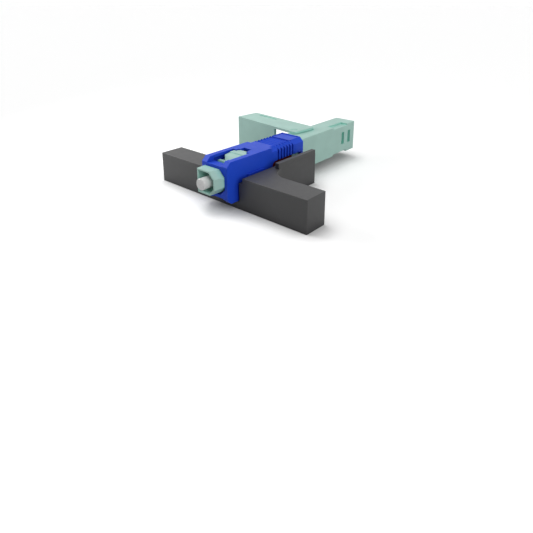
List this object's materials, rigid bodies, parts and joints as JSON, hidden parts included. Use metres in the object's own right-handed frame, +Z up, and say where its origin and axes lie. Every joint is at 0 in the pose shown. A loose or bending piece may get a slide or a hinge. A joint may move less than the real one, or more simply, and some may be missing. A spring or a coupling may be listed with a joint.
{
  "type": "fibre optic connector",
  "caption": "Field-fitted fibre connector with sliding sleeve, spring-loaded ferrule and swing-out cable lever, seated on a T-shaped wedge base.",
  "frame": {"origin": "middle of the underside of the wedge base's crossbar", "axes": "+X along the crossbar, +Y along the connector from the ferrule to the cable end, +Z up"},
  "size_m": [0.0446, 0.0533, 0.0108],
  "materials": {
    "base_black": "fine moulded satin",
    "insert_grey": "moulded satin",
    "sleeve_blue": "semi-gloss moulded",
    "housing_aqua": "satin moulded",
    "ferrule_ceramic": "ground and polished",
    "holder_red": "moulded satin",
    "flange_metal": "turned",
    "spring_steel": "rolled",
    "fibre_glass": "drawn",
    "splice_plastic": "moulded satin"
  },
  "bodies": {
    "base": {"wedge_base": "base_black", "wedge_insert": "insert_grey"},
    "connector": {"plug_frame": "housing_aqua", "splice_holder": "holder_red", "stop_ring": "housing_aqua", "fibre_guide": "housing_aqua", "tail_body": "housing_aqua", "jacket_grip": "housing_aqua", "ferrule_spring": "spring_steel"},
    "sleeve": {"coupling_sleeve": "sleeve_blue"},
    "ferrule_unit": {"ferrule": "ferrule_ceramic", "ferrule_flange": "flange_metal", "fibre_stub": "fibre_glass", "splice_base": "splice_plastic", "splice_lid_front": "splice_plastic", "splice_lid_middle": "splice_plastic", "splice_lid_rear": "splice_plastic", "splice_clamp_front": "spring_steel", "splice_clamp_rear": "spring_steel"},
    "lever": {"lever_lid": "housing_aqua"}
  },
  "joints": [
    {"name": "wedge_release", "type": "slide", "parent": "base", "child": "connector", "axis": [0, 0, 1], "range_m": [0, 0.006]},
    {"name": "sleeve_slide", "type": "slide", "parent": "connector", "child": "sleeve", "axis": [0, 1, 0], "range_m": [0, 0.001]},
    {"name": "ferrule_float", "type": "slide", "parent": "connector", "child": "ferrule_unit", "axis": [0, 1, 0], "range_m": [0, 0.001], "stiffness_N_per_m": 50, "springref_m": -0.002, "deforming": ["ferrule_spring"]},
    {"name": "lever_swing", "type": "hinge", "parent": "connector", "child": "lever", "pos_m": [-0.0023, 0.02348, 0.00608], "axis": [0, 0, 1], "range_deg": [-83.5, 15]}
  ]
}
